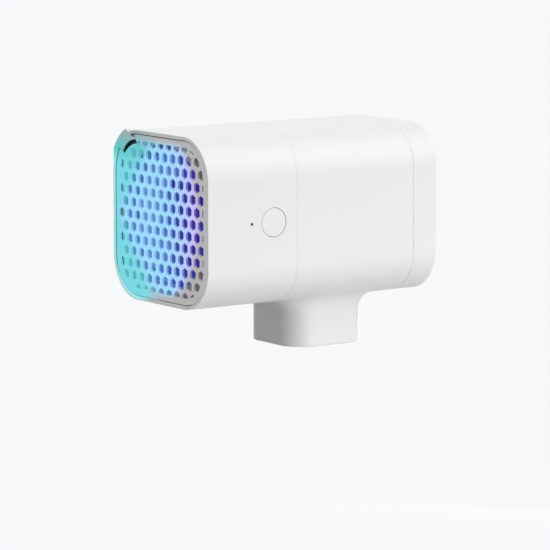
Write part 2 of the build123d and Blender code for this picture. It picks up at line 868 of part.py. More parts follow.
def grip_pad(hand):
    """Soft pad on the arm's inner face, rounded so that the head slides past."""
    x = hand * (grip_gap + grip_pad_thickness) / 2
    pad = RectangleRounded(grip_pad_thickness, grip_pad_length, grip_pad_thickness / 2 - running_gap)
    return along_z(pad, arm_bottom, arm_top, x, neck_y)


def grip_spring(hand):
    """Torsion spring coiled around the pin, on top of the arm's eye."""
    pitch = 2 * spring_wire_r + running_gap
    start = arm_top + spring_wire_r
    path = Pos(hand * grip_pin_x, grip_pin_y, start) * Helix(pitch, pitch * spring_turns, spring_coil_r)
    section = Plane(path @ 0, z_dir=path % 0) * Circle(spring_wire_r)
    return sweep(section, path=path)


def battery_cell():
    """Flat rechargeable cell between the chamber and the side wall."""
    x = -(inner_half - cell_pad)
    outline = RectangleRounded(cell_rear_y - cell_front_y, cell_height, cell_round)
    cell = along_x(outline, x, x + cell_thickness, cell_y, 0)
    return fillet(cell.faces().sort_by(Axis.X)[-1].edges(), cell_round / 2)


def battery_pad():
    """Foam pad that holds the cell to the wall."""
    x = -inner_half
    pad = Rectangle(cell_rear_y - cell_front_y - 2 * cell_round, 2 * (corner_centre - static_gap))
    return along_x(pad, x, x + cell_pad, cell_y, 0)


def main_board():
    """Control and charging board along the button-side wall."""
    start = main_board_x - circuit_thickness
    length_along = main_board_rear_y - main_board_front_y
    outline = RectangleRounded(length_along, main_board_height, circuit_thickness)
    board = along_x(outline, start, main_board_x, main_board_y, 0)
    for y, z in main_posts():
        board -= along_x(Circle(small_screw_r + running_gap), start, main_board_x, y, z)
    return board


def board_chips():
    """Controller, charger, lamp driver and coil on the main board's inner face."""
    face_x = main_board_x - circuit_thickness
    sides = [controller_side, charger_side, driver_side, coil_side]
    heights = [chip_height, chip_height, chip_height, coil_height]
    chips = []
    for (sy, sz), width, height in zip(quarters, sides, heights):
        y = main_board_y + sy * chip_spread_y
        chips.append(along_x(Rectangle(width, width), face_x - height, face_x, y, sz * chip_spread_z))
    return Compound(chips)


def main_board_screws():
    """Four small screws from the board into its posts."""
    start = main_board_x - circuit_thickness
    return Compound([Pos(start, y, z) * Rot(0, 90, 0) * board_screw() for y, z in main_posts()])


def socket_outline(grow):
    """The upright slot shape of the charging socket, moved out by grow."""
    return SlotOverall(socket_width + 2 * grow, socket_height + 2 * grow, 90)


def charging_socket():
    """Charging socket on the main board, open to the rear panel."""
    end = socket_front_y + socket_depth
    shell = along_y(socket_outline(0), socket_front_y, end, socket_x, 0)
    return shell - along_y(socket_outline(-socket_wall), socket_front_y + socket_wall, end, socket_x, 0)


def socket_blade():
    """Contact blade inside the charging socket."""
    start = socket_front_y + socket_wall
    blade = Rectangle(contact_thickness, socket_width - 2 * contact_inset)
    return along_y(blade, start, start + contact_length, socket_x, 0)


def rear_panel():
    """Panel that closes the middle housing, with magnet cups and the socket's slot."""
    panel = nested_slab(panel_front_y, panel_rear_y)
    cup = Circle(cup_r) - Circle(magnet_r + running_gap)
    for x, z in magnet_places:
        panel += along_y(cup, panel_front_y - magnet_thickness, panel_front_y, x, z)
    panel -= along_y(socket_outline(static_gap / 2), panel_front_y, panel_rear_y, socket_x, 0)
    panel -= hollows(screw_r + static_gap, panel_front_y, panel_rear_y, corners)
    sink = panel_rear_y - screw_head_height
    return panel - hollows(screw_head_r + static_gap, sink, panel_rear_y, corners)


def panel_screws():
    """Four sunk screws that hold the rear panel to its posts."""
    one = screw(screw_r, screw_head_r, screw_head_height, rear_post_length)
    sink = panel_rear_y - screw_head_height
    return Compound([Pos(x, sink, z) * Rot(90, 0, 0) * one for x, z in corners])


def magnets(start):
    """Four disc magnets with their front faces at start."""
    return Compound(hollows(magnet_r, start, start + magnet_thickness, magnet_places))


def panel_magnets():
    """Magnets in the rear panel's cups."""
    return magnets(panel_front_y - magnet_thickness)


def wall_dock():
    """Wall cap: its spigot fits into the body's recessed rear, and its walls match the body."""
    shell = body_slab(0, dock_front_y, 0)
    shell = fillet(edges_at(shell, Axis.Y, dock_front_y), seam_round)
    shell = fillet(edges_at(shell, Axis.Y, 0), rear_round)
    shell += body_slab(wall + moving_gap, spigot_front_y, dock_front_y)
    shell -= body_slab(2 * wall + moving_gap, dock_floor_y, dock_front_y + dock_front)
    shell -= body_slab(wall, dock_front_y + dock_front, 0)
    cup = Circle(cup_r) - Circle(magnet_r + running_gap)
    for x, z in magnet_places:
        shell += along_y(cup, dock_floor_y, dock_floor_y + magnet_thickness, x, z)
    for x, z in corners:
        shell += along_y(Circle(post_r), dock_floor_y - dock_front / 2, plate_front_y, x, z)
    return shell - hollows(screw_r + running_gap, dock_floor_y, plate_front_y, corners)


def dock_magnets():
    """Magnets in the dock's cups, opposite the panel's."""
    return magnets(dock_floor_y)


def dock_back_plate():
    """Plate that closes the dock's back and carries the foam pad."""
    plate = nested_slab(plate_front_y, -foam_thickness)
    plate -= hollows(screw_r + static_gap, plate_front_y, -foam_thickness, corners)
    sink = -foam_thickness - screw_head_height
    return plate - hollows(screw_head_r + static_gap, sink, -foam_thickness, corners)


def dock_screws():
    """Four sunk screws that hold the back plate to the dock's posts."""
    reach = screw_bite - screw_head_height
    one = screw(screw_r, screw_head_r, screw_head_height, reach)
    sink = -foam_thickness - screw_head_height
    return Compound([Pos(x, sink, z) * Rot(90, 0, 0) * one for x, z in corners])


def foam_pad():
    """Adhesive foam pad, flush with the dock's rim: the face that sits on the wall."""
    return body_slab(wall + foam_inset, -foam_thickness, 0)


pieces = {
    "wall_dock": wall_dock,
    "dock_back_plate": dock_back_plate,
    "dock_magnets": dock_magnets,
    "dock_screws": dock_screws,
    "foam_pad": foam_pad,
    "front_housing": front_housing,
    "front_rim": front_rim,
    "grille_plate": grille_plate,
    "light_mask": light_mask,
    "light_duct": light_duct,
    "light_board": light_board,
    "duct_lamps": duct_lamps,
    "fan_frame": fan_frame,
    "fan_bearing": fan_bearing,
    "fan_stator": fan_stator,
    "fan_screws": fan_screws,
    "fan_rotor": fan_rotor,
    "fan_shaft": fan_shaft,
    "magnet_ring": magnet_ring,
    "power_button": power_button,
    "switch_plunger": switch_plunger,
    "tact_switch": tact_switch,
    "switch_board": switch_board,
    "switch_board_screws": switch_board_screws,
    "indicator_lamp": indicator_lamp,
    "light_pipe": light_pipe,
    "seam_seal": seam_seal,
    "partition": partition,
    "case_screws": case_screws,
    "middle_housing": middle_housing,
    "chamber_liner": chamber_liner,
    "uv_window": uv_window,
    "uv_board": uv_board,
    "uv_lamps": uv_lamps,
    "mouth_collar": mouth_collar,
    "grip_retainer": grip_retainer,
    "grip_pins": grip_pins,
    "grip_arm_left": lambda: grip_arm(-1),
    "grip_arm_right": lambda: grip_arm(1),
    "grip_pad_left": lambda: grip_pad(-1),
    "grip_pad_right": lambda: grip_pad(1),
    "grip_spring_left": lambda: grip_spring(-1),
    "grip_spring_right": lambda: grip_spring(1),
    "battery_cell": battery_cell,
    "battery_pad": battery_pad,
    "main_board": main_board,
    "board_chips": board_chips,
    "main_board_screws": main_board_screws,
    "charging_socket": charging_socket,
    "socket_blade": socket_blade,
    "rear_panel": rear_panel,
    "panel_screws": panel_screws,
    "panel_magnets": panel_magnets,
}

os.makedirs("parts", exist_ok=True)
for name, build in pieces.items():
    export_step(build(), "parts/" + name + ".step")
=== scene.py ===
import math

import bpy
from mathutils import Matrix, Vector


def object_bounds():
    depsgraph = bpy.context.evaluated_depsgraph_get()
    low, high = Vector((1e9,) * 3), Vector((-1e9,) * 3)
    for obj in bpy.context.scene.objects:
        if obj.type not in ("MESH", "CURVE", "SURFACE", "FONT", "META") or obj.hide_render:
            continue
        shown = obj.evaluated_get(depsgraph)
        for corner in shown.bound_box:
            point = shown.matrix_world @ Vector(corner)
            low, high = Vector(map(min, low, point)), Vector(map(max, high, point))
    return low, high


bl_info = {
    "name": "Toothbrush Sterilizer",
    "version": (1, 0, 0),
    "blender": (4, 5, 0),
    "location": "3D View > Sidebar > Sterilizer",
    "description": "Finishes and lights a wall-mounted toothbrush sterilizer with a lit honeycomb grille",
    "category": "Object",
}

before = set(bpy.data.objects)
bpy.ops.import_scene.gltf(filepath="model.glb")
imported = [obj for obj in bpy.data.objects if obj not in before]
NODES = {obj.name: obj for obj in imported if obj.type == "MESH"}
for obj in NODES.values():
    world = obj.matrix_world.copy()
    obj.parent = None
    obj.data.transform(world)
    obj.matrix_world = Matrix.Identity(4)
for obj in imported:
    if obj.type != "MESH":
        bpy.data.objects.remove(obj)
CAD_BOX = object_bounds()

# One millimetre in the scene's metres
MM = 0.001

# How far the centres of the body's corner arcs lie from its middle
CORNER_CENTRE = 14.7 * MM

# Half widths of the front shell's inside, and of the part of the rim with the slot and the grooves
SHELL_INSIDE_HALF = 28.5 * MM
RIM_GROOVED_HALF = 28.9 * MM

# Each span below runs from where a change begins to where it is whole. Across the front, from its
# middle to the right
# The first span fades in a faint teal light painted left of the middle on the rim and the grille
LEFT_FAINT_SPILL = (-1 * MM, -14 * MM)
WEB_VIOLET = (4 * MM, 19 * MM)
WEB_MAUVE = (16 * MM, 24 * MM)
CELL_VIOLET = (-6 * MM, 21 * MM)
DUCT_VIOLET = (-20 * MM, 25 * MM)
FAN_BLUE = (-24 * MM, -9 * MM)
FAN_INDIGO = (-9 * MM, 0.0)

# Up the front, from its middle
BELOW_TOP = (30 * MM, 22 * MM)
HIGH_TEAL = (17 * MM, 26 * MM)
SPILL_HEIGHT = (28 * MM, 25 * MM)
EAR_HEIGHT = (18 * MM, 22 * MM)
DUCT_TOP = (18 * MM, 25 * MM)

# Round a point on the front
SPILL_CENTRE = (-12 * MM, 0, 2 * MM)
SPILL_REACH = (37.5 * MM, 32 * MM)
LIT_CELLS = (28 * MM, 23 * MM)

# Out from the wall, which is the negative way
SLOT_DEPTH = (-97.8 * MM, -97.4 * MM)
DUCT_DEPTH = (-96 * MM, -90 * MM)
FAN_DEPTH = (-62 * MM, -91 * MM)

# By where a surface faces: to the front, anywhere but up, and across the cells
FACES_FRONT = (-0.4, -0.8)
FACES_NOT_UP = (0.6, 0.3)
CELL_WALL = (0.8, 0.3)

# The values that a noise texture hardly leaves
NOISE_SPAN = (0.3, 0.7)

# The room round the fan that the lamps light, and the front of the wall behind it
FAN_ROOM_MIDDLE = -77 * MM
FAN_ROOM_HALF = 17.5 * MM
PARTITION_FRONT = -59.5 * MM

# The mask's painted shade under the nail slot: how far from the corner arc's centre, left and up it starts
SLOT_RADIUS = 10.2 * MM
SLOT_RIGHT_END = -13 * MM
SLOT_LOW_END = 20.5 * MM

# How the teal light reaches over the rim, and over the grille and the mask
RIM_TEAL = {"slope": 0.5, "start": 19 * MM, "end": 29 * MM}
GRILLE_TEAL = {"slope": 0.8, "start": 22 * MM, "end": 32 * MM}

# How brightly the rim glows where teal light falls on it, and a lens at its edge for 1 at its middle
RIM_GLOW_STRENGTH = 0.45
LENS_EDGE = 0.6

# Refractive indices used more than once
ABS_IOR = 1.53
EPOXY_IOR = 1.5

# How far apart a wave texture of scale 1 repeats, in metres
WAVE_REPEAT = 0.3

# Sizes of what repeats in the textures: clouds in the collar, the boards' weave and traces, a lamp's
# dome, a turn of wire, and a cell of foam
CLOUD_SIZE = 6 * MM
WEAVE_SIZE = 0.6 * MM
TRACE_SIZE = 3 * MM
DOME_SIZE = 1.2 * MM
TURN_SIZE = 0.4 * MM
FOAM_CELL_SIZE = 0.7 * MM

# The sRGB curve: straight at the dark end, and a power above it
SRGB_STRAIGHT_END = 0.04045
SRGB_STRAIGHT_SLOPE = 12.92
SRGB_OFFSET = 0.055
SRGB_POWER = 2.4

# Metals by their finish, with the size and depth of their grain. A stretch draws the grain out.
METALS = {
    # Porous bronze of the bearing, which holds oil
    "sintered_bronze": {"colour": "#b08a50", "roughness": 0.45, "size_mm": 0.2, "depth_mm": 0.01},
    # Dark brittle ferrite of the motor's magnet
    "pressed_ferrite": {"colour": "#3a3a3e", "roughness": 0.6, "size_mm": 0.4, "depth_mm": 0.01},
    # Aluminium sheet of the chamber, brushed upwards
    "bright_aluminium": {
        "colour": "#d9dadf", "roughness": 0.2, "size_mm": 0.5, "depth_mm": 0.003,
        "stretch": (1, 1, 0.05),
    },
    # Hard-drawn wire of the grips' springs
    "spring_wire": {"colour": "#a9abb0", "roughness": 0.25, "size_mm": 0.3, "depth_mm": 0.004},
    # Bright zinc of the screws
    "zinc_plated_steel": {"colour": "#b9bcc2", "roughness": 0.3, "size_mm": 0.4, "depth_mm": 0.004},
    # Ground steel of the pins and the socket's shell
    "ground_steel": {
        "colour": "#c2c4c8", "roughness": 0.22, "size_mm": 0.3, "depth_mm": 0.002,
        "stretch": (1, 1, 0.1),
    },
    # Nickel of the magnets
    "nickel_plate": {"colour": "#c6c4bf", "roughness": 0.18, "size_mm": 0.8, "depth_mm": 0.002},
}

# Nodes that share a finish
SHELLS = ["front_housing", "middle_housing", "wall_dock", "power_button"]
INNER_SHELLS = [
    "partition", "mouth_collar", "grip_retainer", "grip_arm_left", "grip_arm_right", "rear_panel",
    "dock_back_plate",
]
FAN = ["fan_frame", "fan_rotor"]
BOARDS = ["switch_board", "main_board", "uv_board"]
SCREWS = [
    "fan_screws", "case_screws", "switch_board_screws", "main_board_screws", "panel_screws", "dock_screws",
]
MAGNETS = ["dock_magnets", "panel_magnets"]
PINS = ["fan_shaft", "grip_pins", "charging_socket"]
SPRINGS = ["grip_spring_left", "grip_spring_right"]
CHIPS = ["board_chips", "tact_switch", "switch_plunger", "socket_blade"]
PADS = ["grip_pad_left", "grip_pad_right"]
FOAMS = ["battery_pad", "foam_pad"]

# Kinds of shader node used often, and the sockets of the one that mixes colours
MATH = "ShaderNodeMath"
RANGE = "ShaderNodeMapRange"
NOISE = "ShaderNodeTexNoise"
VECTOR = "ShaderNodeVectorMath"
MIX = "ShaderNodeMix"
MIX_AMOUNT, MIX_FIRST, MIX_SECOND, MIX_COLOUR = 0, 6, 7, 2


def linear(colour):
    """A colour written as sRGB hex, as the linear RGBA that a shader takes."""
    values = []
    for start in (1, 3, 5):
        value = int(colour[start:start + 2], 16) / 255
        if value <= SRGB_STRAIGHT_END:
            values.append(value / SRGB_STRAIGHT_SLOPE)
        else:
            values.append(((value + SRGB_OFFSET) / (1 + SRGB_OFFSET)) ** SRGB_POWER)
    return (*values, 1.0)


def add(material, kind, inputs=None, output=0, **settings):
    """Adds a node with its settings, gives each input a value or a link, and returns one output."""
    node = material.node_tree.nodes.new(kind)
    for name, value in settings.items():
        setattr(node, name, value)
    for name, value in (inputs or {}).items():
        if isinstance(value, bpy.types.NodeSocket):
            material.node_tree.links.new(value, node.inputs[name])
        else:
            node.inputs[name].default_value = value
    return node.outputs[output] if node.outputs else None


def ends(value, none, full):
    """The inputs of a range that gives 0 where the value is none and 1 where it is full."""
    return {"Value": value, "From Min": none, "From Max": full}


def colours(amount, first, second):
    """The inputs of a mix of two colours."""
    return {MIX_AMOUNT: amount, MIX_FIRST: first, MIX_SECOND: second}


def empty_material(name):
    """A material with no nodes but the point on the object, in metres from the wall face's centre."""
    material = bpy.data.materials.new(name)
    material.use_nodes = True
    material.node_tree.nodes.clear()
    return material, add(material, "ShaderNodeTexCoord", output="Object")


def surface(material, inputs):
    """Ends a material in one principled shader."""
    shader = add(material, "ShaderNodeBsdfPrincipled", inputs)
    add(material, "ShaderNodeOutputMaterial", {"Surface": shader})
    return material


def axes(material, vector):
    """The X, Y and Z of a point or a direction."""
    return [add(material, "ShaderNodeSeparateXYZ", {"Vector": vector}, axis) for axis in ("X", "Y", "Z")]


def textured(material, point, size_mm, depth_mm, roughness, spread=0.05):
    """What a mould, a press or a grinder leaves: spots about size_mm across and depth_mm deep, some
    of them a little shinier than the others."""
    spots = add(material, NOISE, {"Vector": point, "Scale": 1 / (size_mm * MM)})
    shine = ends(spots, *NOISE_SPAN) | {"To Min": roughness - spread, "To Max": roughness + spread}
    relief = {"Height": spots, "Distance": depth_mm * MM, "Strength": 0.5}
    return {"Roughness": add(material, RANGE, shine), "Normal": add(material, "ShaderNodeBump", relief)}


def dress(names, material):
    """Gives CAD nodes a material."""
    for name in names:
        mesh = NODES[name].data
        mesh.materials.clear()
        mesh.materials.append(material)


def teal_spill(material, point, slope, start, end):
    """How much teal light falls on the front: most at the left edge and its corners, none at the
    top edge, where the ear and the rim stay grey."""
    x, _, z = axes(material, point)
    height = add(material, MATH, {0: z}, operation="ABSOLUTE")
    raised = add(material, MATH, {0: height, 1: slope}, operation="MULTIPLY")
    reach = add(material, MATH, {0: raised, 1: x}, operation="SUBTRACT")
    left = add(material, RANGE, ends(reach, start, end), interpolation_type="SMOOTHSTEP")
    below_top = add(material, RANGE, ends(z, *BELOW_TOP), interpolation_type="SMOOTHSTEP")
    return add(material, MATH, {0: left, 1: below_top}, operation="MULTIPLY")


def lamp_spill(material, point):
    """How much of the lamps' blue light falls on the webs: all of it round a point left of the
    grille's middle, and none at the right corners, the top and the bottom."""
    flat = add(material, VECTOR, {0: point, 1: (1, 0, 1)}, operation="MULTIPLY")
    away = add(material, VECTOR, {0: flat, 1: SPILL_CENTRE}, "Value", operation="DISTANCE")
    near = add(material, RANGE, ends(away, *SPILL_REACH), interpolation_type="SMOOTHSTEP")
    height = add(material, MATH, {0: axes(material, point)[2]}, operation="ABSOLUTE")
    inside = add(material, RANGE, ends(height, *SPILL_HEIGHT), interpolation_type="SMOOTHSTEP")
    return add(material, MATH, {0: near, 1: inside}, operation="MULTIPLY")


def within_outline(material, point, half):
    """One inside the body's rounded square brought to a half width, and zero outside it."""
    corner = (CORNER_CENTRE, 0, CORNER_CENTRE)
    folded = add(material, VECTOR, {0: point}, operation="ABSOLUTE")
    past = add(material, VECTOR, {0: folded, 1: corner}, operation="SUBTRACT")
    past = add(material, VECTOR, {0: past, 1: (0, 0, 0)}, operation="MAXIMUM")
    past = add(material, VECTOR, {0: past, 1: (1, 0, 1)}, operation="MULTIPLY")
    outward = add(material, VECTOR, {0: past}, "Value", operation="LENGTH")
    return add(material, MATH, {0: outward, 1: half - CORNER_CENTRE}, operation="LESS_THAN")


def white_moulded_abs(finish):
    """White ABS from a spark-eroded mould: almost matt, with a soft broad highlight. Inside the front
    shell, behind the fan, the lamps' light turns it blue."""
    material, point = empty_material("white_moulded_abs")
    y = axes(material, point)[1]
    inside = within_outline(material, point, SHELL_INSIDE_HALF)
    room = {0: y, 1: FAN_ROOM_MIDDLE, 2: FAN_ROOM_HALF}
    round_fan = add(material, MATH, room, operation="COMPARE")
    glow = add(material, MATH, {0: inside, 1: round_fan}, operation="MULTIPLY")
    base = colours(glow, linear(finish.shell), linear(finish.grille_lit))
    return surface(material, {
        "Base Color": add(material, MIX, base, MIX_COLOUR, data_type="RGBA"),
        "IOR": ABS_IOR, "Specular IOR Level": 0.4,
        "Emission Color": linear(finish.inside_glow), "Emission Strength": glow,
    } | textured(material, point, size_mm=0.35, depth_mm=0.004, roughness=0.48))


def white_inner_abs(finish):
    """The same ABS on the inner parts, plainer and a little darker. The front of the partition
    behind the fan is blue in the lamps' light."""
    material, point = empty_material("white_inner_abs")
    y = axes(material, point)[1]
    glow = add(material, MATH, {0: y, 1: PARTITION_FRONT}, operation="LESS_THAN")
    base = colours(glow, linear(finish.inner_shell), linear(finish.grille_lit))
    return surface(material, {
        "Base Color": add(material, MIX, base, MIX_COLOUR, data_type="RGBA"), "IOR": ABS_IOR,
        "Emission Color": linear(finish.inside_glow), "Emission Strength": glow,
    } | textured(material, point, size_mm=0.5, depth_mm=0.006, roughness=0.55))


def grey_satin_abs(finish):
    """Grey ABS of the rim, finely sparked. The grille's light spills teal over the left of its front face,
    deeper on the ear than on the band under it, all painted, with a fainter painted teal reaching to the
    middle. Its slot and grooves have painted dark shade inside."""
    material, point = empty_material("grey_satin_abs")
    x, y, z = axes(material, point)
    _, forward, upward = axes(material, add(material, "ShaderNodeNewGeometry", output="Normal"))
    face = add(material, RANGE, ends(forward, *FACES_FRONT))
    teal = teal_spill(material, point, **RIM_TEAL)
    teal = add(material, MATH, {0: teal, 1: face}, operation="MULTIPLY")
    # A fainter teal light is painted on the front faces left of the middle
    faint_spill = add(material, RANGE, ends(x, *LEFT_FAINT_SPILL))
    faint_spill = add(material, MATH, {0: faint_spill, 1: face}, operation="MULTIPLY")
    faintly_lit = colours(faint_spill, linear(finish.rim), linear(finish.rim_faint_spill))
    faintly_lit = add(material, MIX, faintly_lit, MIX_COLOUR, data_type="RGBA")
    base = colours(teal, faintly_lit, linear(finish.rim_lit))
    base = add(material, MIX, base, MIX_COLOUR, data_type="RGBA")
    # Painted shade: deep in the slot and the grooves, on faces not turned up, the rim takes a dark teal and
    # loses its glow
    depth = add(material, RANGE, ends(y, *SLOT_DEPTH))
    under = add(material, RANGE, ends(upward, *FACES_NOT_UP))
    slot_shade = add(material, MATH, {0: depth, 1: under}, operation="MULTIPLY")
    inside = within_outline(material, point, RIM_GROOVED_HALF)
    slot_shade = add(material, MATH, {0: slot_shade, 1: inside}, operation="MULTIPLY")
    base = colours(slot_shade, base, linear(finish.slot_painted_shade))
    on_ear = add(material, RANGE, ends(z, *EAR_HEIGHT))
    glow = colours(on_ear, linear(finish.rim_glow), linear(finish.ear_glow))
    outside = {0: RIM_GLOW_STRENGTH, 1: slot_shade}
    outside = add(material, MATH, outside, operation="SUBTRACT", use_clamp=True)
    return surface(material, {
        "Base Color": add(material, MIX, base, MIX_COLOUR, data_type="RGBA"),
        "IOR": ABS_IOR, "Specular IOR Level": 0.4,
        "Emission Color": add(material, MIX, glow, MIX_COLOUR, data_type="RGBA"),
        "Emission Strength": add(material, MATH, {0: teal, 1: outside}, operation="MULTIPLY"),
    } | textured(material, point, size_mm=0.3, depth_mm=0.003, roughness=0.5))


def lit_honeycomb(finish):
    """Grey ABS of the honeycomb. The lamps behind light the walls of its cells blue. Their light
    spills over the webs, pale blue at the left and the middle, lavender at the right, and teal in
    the left corners."""
    material, point = empty_material("lit_honeycomb")
    x, _, z = axes(material, point)
    facing = axes(material, add(material, "ShaderNodeNewGeometry", output="Normal"))[1]
    flatness = add(material, MATH, {0: facing}, operation="ABSOLUTE")
    wall = add(material, RANGE, ends(flatness, *CELL_WALL))
    violet = add(material, RANGE, ends(x, *WEB_VIOLET))
    mauve = add(material, RANGE, ends(x, *WEB_MAUVE))
    web = colours(violet, linear(finish.web_left), linear(finish.web_middle))
    web = add(material, MIX, web, MIX_COLOUR, data_type="RGBA")
    web = colours(mauve, web, linear(finish.web_right))
    web = add(material, MIX, web, MIX_COLOUR, data_type="RGBA")
    right = add(material, RANGE, ends(x, *CELL_VIOLET))
    cell = colours(right, linear(finish.cell_left), linear(finish.cell_right))
    cell = add(material, MIX, cell, MIX_COLOUR, data_type="RGBA")
    light = add(material, MIX, colours(wall, web, cell), MIX_COLOUR, data_type="RGBA")
    teal = teal_spill(material, point, **GRILLE_TEAL)
    high = add(material, RANGE, ends(z, *HIGH_TEAL))
    tint = colours(high, linear(finish.teal), linear(finish.teal_high))
    tint = add(material, MIX, tint, MIX_COLOUR, data_type="RGBA")
    light = colours(teal, light, tint)
    light = add(material, MIX, light, MIX_COLOUR, data_type="RGBA")

    flat = add(material, VECTOR, {0: point, 1: (1, 0, 1)}, operation="MULTIPLY")
    radius = add(material, VECTOR, {0: flat}, "Value", operation="LENGTH")
    in_light = add(material, RANGE, ends(radius, *LIT_CELLS))
    amount = {"Factor": wall, "A": lamp_spill(material, point), "B": in_light}
    amount = add(material, MIX, amount, "Result")
    amount = add(material, MATH, {0: amount, 1: teal}, operation="MAXIMUM")
    # A fainter teal light is painted left of the middle, as on the rim
    faint_spill = add(material, RANGE, ends(x, *LEFT_FAINT_SPILL))
    faintly_lit = colours(faint_spill, linear(finish.grille), linear(finish.rim_faint_spill))
    faintly_lit = add(material, MIX, faintly_lit, MIX_COLOUR, data_type="RGBA")
    base = colours(amount, faintly_lit, linear(finish.grille_lit))
    return surface(material, {
        "Base Color": add(material, MIX, base, MIX_COLOUR, data_type="RGBA"),
        "IOR": ABS_IOR, "Specular IOR Level": 0.3, "Emission Color": light, "Emission Strength": amount,
    } | textured(material, point, size_mm=0.3, depth_mm=0.003, roughness=0.5))


def grey_mask_abs(finish):
    """Matt grey ABS of the sheet behind the grille's corners, teal in the spilled light at the left,
    with painted dark shade under the nail slot."""
    material, point = empty_material("grey_mask_abs")
    x, _, z = axes(material, point)
    teal = teal_spill(material, point, **GRILLE_TEAL)
    base = colours(teal, linear(finish.mask), linear(finish.grille_lit))
    base = add(material, MIX, base, MIX_COLOUR, data_type="RGBA")
    # Painted shade under the nail slot: outside an arc round the top left corner's centre, left and high
    flat = add(material, VECTOR, {0: point, 1: (1, 0, 1)}, operation="MULTIPLY")
    corner = (-CORNER_CENTRE, 0, CORNER_CENTRE)
    away = add(material, VECTOR, {0: flat, 1: corner}, "Value", operation="DISTANCE")
    outer = add(material, MATH, {0: away, 1: SLOT_RADIUS}, operation="GREATER_THAN")
    left = add(material, MATH, {0: x, 1: SLOT_RIGHT_END}, operation="LESS_THAN")
    upper = add(material, MATH, {0: z, 1: SLOT_LOW_END}, operation="GREATER_THAN")
    slot = add(material, MATH, {0: outer, 1: left}, operation="MULTIPLY")
    slot = add(material, MATH, {0: slot, 1: upper}, operation="MULTIPLY")
    base = colours(slot, base, linear(finish.slot_painted_shade))
    return surface(material, {
        "Base Color": add(material, MIX, base, MIX_COLOUR, data_type="RGBA"), "IOR": ABS_IOR,
        "Emission Color": linear(finish.mask_teal),
        "Emission Strength": add(material, MATH, {0: teal, 1: slot}, operation="SUBTRACT", use_clamp=True),
    } | textured(material, point, size_mm=0.4, depth_mm=0.004, roughness=0.6))


def milky_polycarbonate(finish):
    """Milky polycarbonate of the lit collar. It glows bluer at the left and violet at the right,
    brightest at its front edge and dark at the top, with faint clouds."""
    material, point = empty_material("milky_polycarbonate")
    x, y, z = axes(material, point)
    right = add(material, RANGE, ends(x, *DUCT_VIOLET))
    glow = colours(right, linear(finish.duct_left), linear(finish.duct_right))
    clouds = add(material, NOISE, {"Vector": point, "Scale": 1 / CLOUD_SIZE})
    cloudy = add(material, RANGE, ends(clouds, *NOISE_SPAN) | {"To Min": 0.9, "To Max": 1.1})
    deep = add(material, RANGE, ends(y, *DUCT_DEPTH) | {"To Min": 1.15, "To Max": 0.7})
    top = add(material, RANGE, ends(z, *DUCT_TOP) | {"To Min": 1.0, "To Max": 0.3})
    strength = add(material, MATH, {0: cloudy, 1: deep}, operation="MULTIPLY")
    return surface(material, {
        "Base Color": linear("#303040"), "Roughness": 0.5, "IOR": 1.58,
        "Emission Color": add(material, MIX, glow, MIX_COLOUR, data_type="RGBA"),
        "Emission Strength": add(material, MATH, {0: strength, 1: top}, operation="MULTIPLY"),
    })


def lit_fan_plastic(finish):
    """Smoke-tinted PBT of the fan, blue in the lamps' light, indigo at the right, and darker the
    further it lies behind them."""
    material, point = empty_material("lit_fan_plastic")
    x, y, _ = axes(material, point)
    middle = add(material, RANGE, ends(x, *FAN_BLUE))
    right = add(material, RANGE, ends(x, *FAN_INDIGO))
    glow = colours(middle, linear(finish.fan_left), linear(finish.fan_middle))
    glow = add(material, MIX, glow, MIX_COLOUR, data_type="RGBA")
    glow = colours(right, glow, linear(finish.fan_right))
    near = add(material, RANGE, ends(y, *FAN_DEPTH) | {"To Min": 0.55, "To Max": 1.0})
    return surface(material, {
        "Base Color": linear("#0a0a10"), "IOR": 1.55, "Specular IOR Level": 0.1,
        "Emission Color": add(material, MIX, glow, MIX_COLOUR, data_type="RGBA"),
        "Emission Strength": near,
    } | textured(material, point, size_mm=0.4, depth_mm=0.004, roughness=0.42))


def solder_mask(finish):
    """Glass-epoxy board under green solder mask, with the weave and the copper's edges just showing."""
    material, point = empty_material("solder_mask")
    weave = add(
        material, "ShaderNodeTexWave",
        {"Vector": point, "Scale": WAVE_REPEAT / WEAVE_SIZE, "Distortion": 1.0},
        "Fac", wave_type="BANDS", bands_direction="DIAGONAL",
    )
    copper = add(material, "ShaderNodeTexBrick", {
        "Vector": point, "Scale": 1 / TRACE_SIZE, "Mortar Size": 0.05, "Mortar Smooth": 0.2,
        "Color1": linear(finish.board), "Color2": linear(finish.board_light),
        "Mortar": linear(finish.board_dark),
    })
    relief = {"Height": weave, "Distance": 0.01 * MM, "Strength": 0.4}
    return surface(material, {
        "Base Color": copper, "Roughness": 0.32, "IOR": EPOXY_IOR, "Coat Weight": 0.3,
        "Normal": add(material, "ShaderNodeBump", relief),
    })


def white_solder_mask(finish):
    """The lamps' board: glass epoxy under white solder mask, blue in their light."""
    material, point = empty_material("white_solder_mask")
    return surface(material, {
        "Base Color": linear("#d8dade"), "IOR": EPOXY_IOR,
        "Emission Color": linear(finish.inside_glow), "Emission Strength": 0.8,
    } | textured(material, point, size_mm=0.6, depth_mm=0.01, roughness=0.35))


def lamp_lens(name, colour, strength):
    """A small lamp under a clear dome of resin, brightest at its middle."""
    material, point = empty_material(name)
    domes = add(material, "ShaderNodeTexVoronoi", {"Vector": point, "Scale": 1 / DOME_SIZE}, "Distance")
    light = ends(domes, 0.0, 1.0) | {"To Min": strength, "To Max": LENS_EDGE * strength}
    return surface(material, {
        "Base Color": linear("#e8e8f4"), "Roughness": 0.25, "IOR": EPOXY_IOR,
        "Emission Color": linear(colour), "Emission Strength": add(material, RANGE, light),
    })


